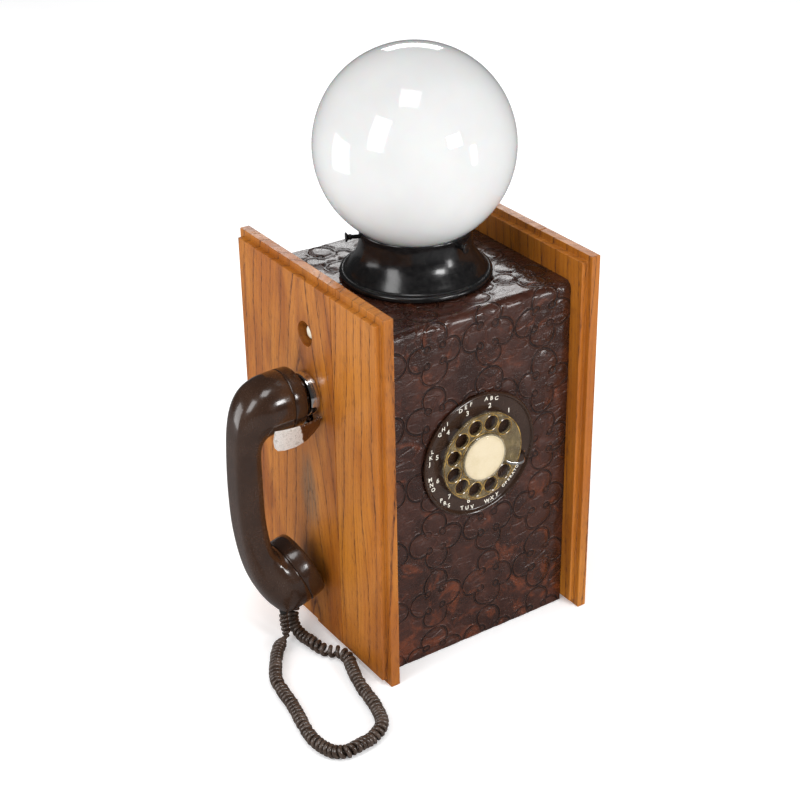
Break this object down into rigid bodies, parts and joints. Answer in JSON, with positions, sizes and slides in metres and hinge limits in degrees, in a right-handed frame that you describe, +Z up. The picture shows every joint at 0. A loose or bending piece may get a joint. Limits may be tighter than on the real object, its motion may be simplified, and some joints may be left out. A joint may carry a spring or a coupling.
{
  "type": "novelty bar telephone",
  "caption": "Wooden rotary telephone with tooled leather front, side-hung handset, curly cord and a white globe lamp on top.",
  "frame": {"origin": "centre of the underside of the cabinet, on the surface it stands on", "axes": "+Z up, -Y out of the dial, +X to the right of the dial; the handset hangs on the -X side"},
  "size_m": [0.2853, 0.259, 0.4729],
  "materials": {
    "oak": "stained oak, satin varnish, worn edges",
    "plywood": "unfinished plywood",
    "tooled_leather": "tooled, glossy and mottled",
    "brown_plastic": "glossy, lightly scuffed",
    "dark_plastic": "moulded, satin",
    "clear_acrylic": "clear, yellowed, scratched",
    "card": "aged paper card",
    "chrome": "polished",
    "steel": "zinc plated",
    "brass": "satin",
    "black_paint": "gloss black enamel",
    "opal_glass": "glossy opal white",
    "porcelain": "glazed ceramic",
    "bulb_glass": "frosted",
    "ivory_plastic": "satin ivory",
    "rubber": "matt",
    "cord_vinyl": "satin vinyl"
  },
  "bodies": {
    "cabinet": {"side_left_front_board": "oak", "side_left_rear_board": "oak", "side_right_front_board": "oak", "side_right_rear_board": "oak", "front_board": "plywood", "top_board": "plywood", "bottom_board": "plywood", "back_panel": "plywood", "leather_cover": "tooled_leather", "dial_bezel": "brown_plastic", "dial_case": "dark_plastic", "hook_contacts": "dark_plastic", "lamp_switch_body": "dark_plastic", "ringer_coil": "dark_plastic", "network_block": "dark_plastic", "finger_stop": "chrome", "hook_boss": "chrome", "back_screw_1": "steel", "back_screw_2": "steel", "back_screw_3": "steel", "back_screw_4": "steel", "hook_pin": "steel", "hook_bracket": "steel", "lamp_nipple": "steel", "lamp_nut_lower": "steel", "lamp_nut_upper": "steel", "ringer_frame": "steel", "bulb_base": "brass", "gong_left": "brass", "gong_right": "brass", "lamp_fitter": "black_paint", "lamp_socket": "porcelain", "bulb_glass": "bulb_glass", "mains_bushing": "rubber", "line_bushing": "rubber", "cord_grommet": "rubber", "cord_coil": "cord_vinyl", "cord_lead_handset": "cord_vinyl", "cord_lead_wall": "cord_vinyl"},
    "dial_wheel": {"finger_wheel": "clear_acrylic", "card_retainer": "clear_acrylic", "number_card": "card", "dial_shaft": "steel", "pulse_cam": "brass"},
    "handset": {"handset_body": "brown_plastic", "ear_cap": "brown_plastic", "mouth_cap": "brown_plastic", "receiver_capsule": "dark_plastic", "transmitter_capsule": "dark_plastic", "handset_grommet": "rubber"},
    "hook": {"hook_fork": "chrome"},
    "lamp_globe": {"globe": "opal_glass"},
    "screw_rear_left": {"thumbscrew_1": "black_paint"},
    "screw_rear_right": {"thumbscrew_2": "black_paint"},
    "screw_front": {"thumbscrew_3": "black_paint"},
    "button": {"lamp_button": "ivory_plastic"},
    "bell_clapper": {"clapper": "steel"}
  },
  "joints": [
    {"name": "dial_turn", "type": "hinge", "parent": "cabinet", "child": "dial_wheel", "pos_m": [0, -0.09, 0.172], "axis": [0, 1, 0], "range_deg": [0, 325], "stiffness_Nm_per_rad": 0.008, "springref_deg": -114.59},
    {"name": "handset_lift", "type": "slide", "parent": "cabinet", "child": "handset", "axis": [0, 0, 1], "range_m": [0, 0.06]},
    {"name": "hook_swing", "type": "hinge", "parent": "cabinet", "child": "hook", "pos_m": [-0.076, 0, 0.1965], "axis": [0, 1, 0], "range_deg": [0, 7]},
    {"name": "globe_lift", "type": "slide", "parent": "cabinet", "child": "lamp_globe", "axis": [0, 0, 1], "range_m": [0, 0.08]},
    {"name": "screw_rear_left_turn", "type": "slide", "parent": "cabinet", "child": "screw_rear_left", "axis": [-0.9063, 0.4226, 0], "range_m": [0, 0.004]},
    {"name": "screw_rear_right_turn", "type": "slide", "parent": "cabinet", "child": "screw_rear_right", "axis": [0.7431, 0.6691, 0], "range_m": [0, 0.004]},
    {"name": "screw_front_turn", "type": "slide", "parent": "cabinet", "child": "screw_front", "axis": [0.2588, -0.9659, 0], "range_m": [0, 0.004]},
    {"name": "button_press", "type": "slide", "parent": "cabinet", "child": "button", "axis": [1, 0, 0], "range_m": [0, 0.0025], "stiffness_N_per_m": 400, "springref_m": -0.001},
    {"name": "clapper_swing", "type": "hinge", "parent": "cabinet", "child": "bell_clapper", "pos_m": [0, 0.034, 0.064], "axis": [0, 1, 0], "range_deg": [-3, 3]}
  ],
  "couplings": [
    {"joint": "hook_swing", "follows": "handset_lift", "rad_per_m": 2.036}
  ]
}
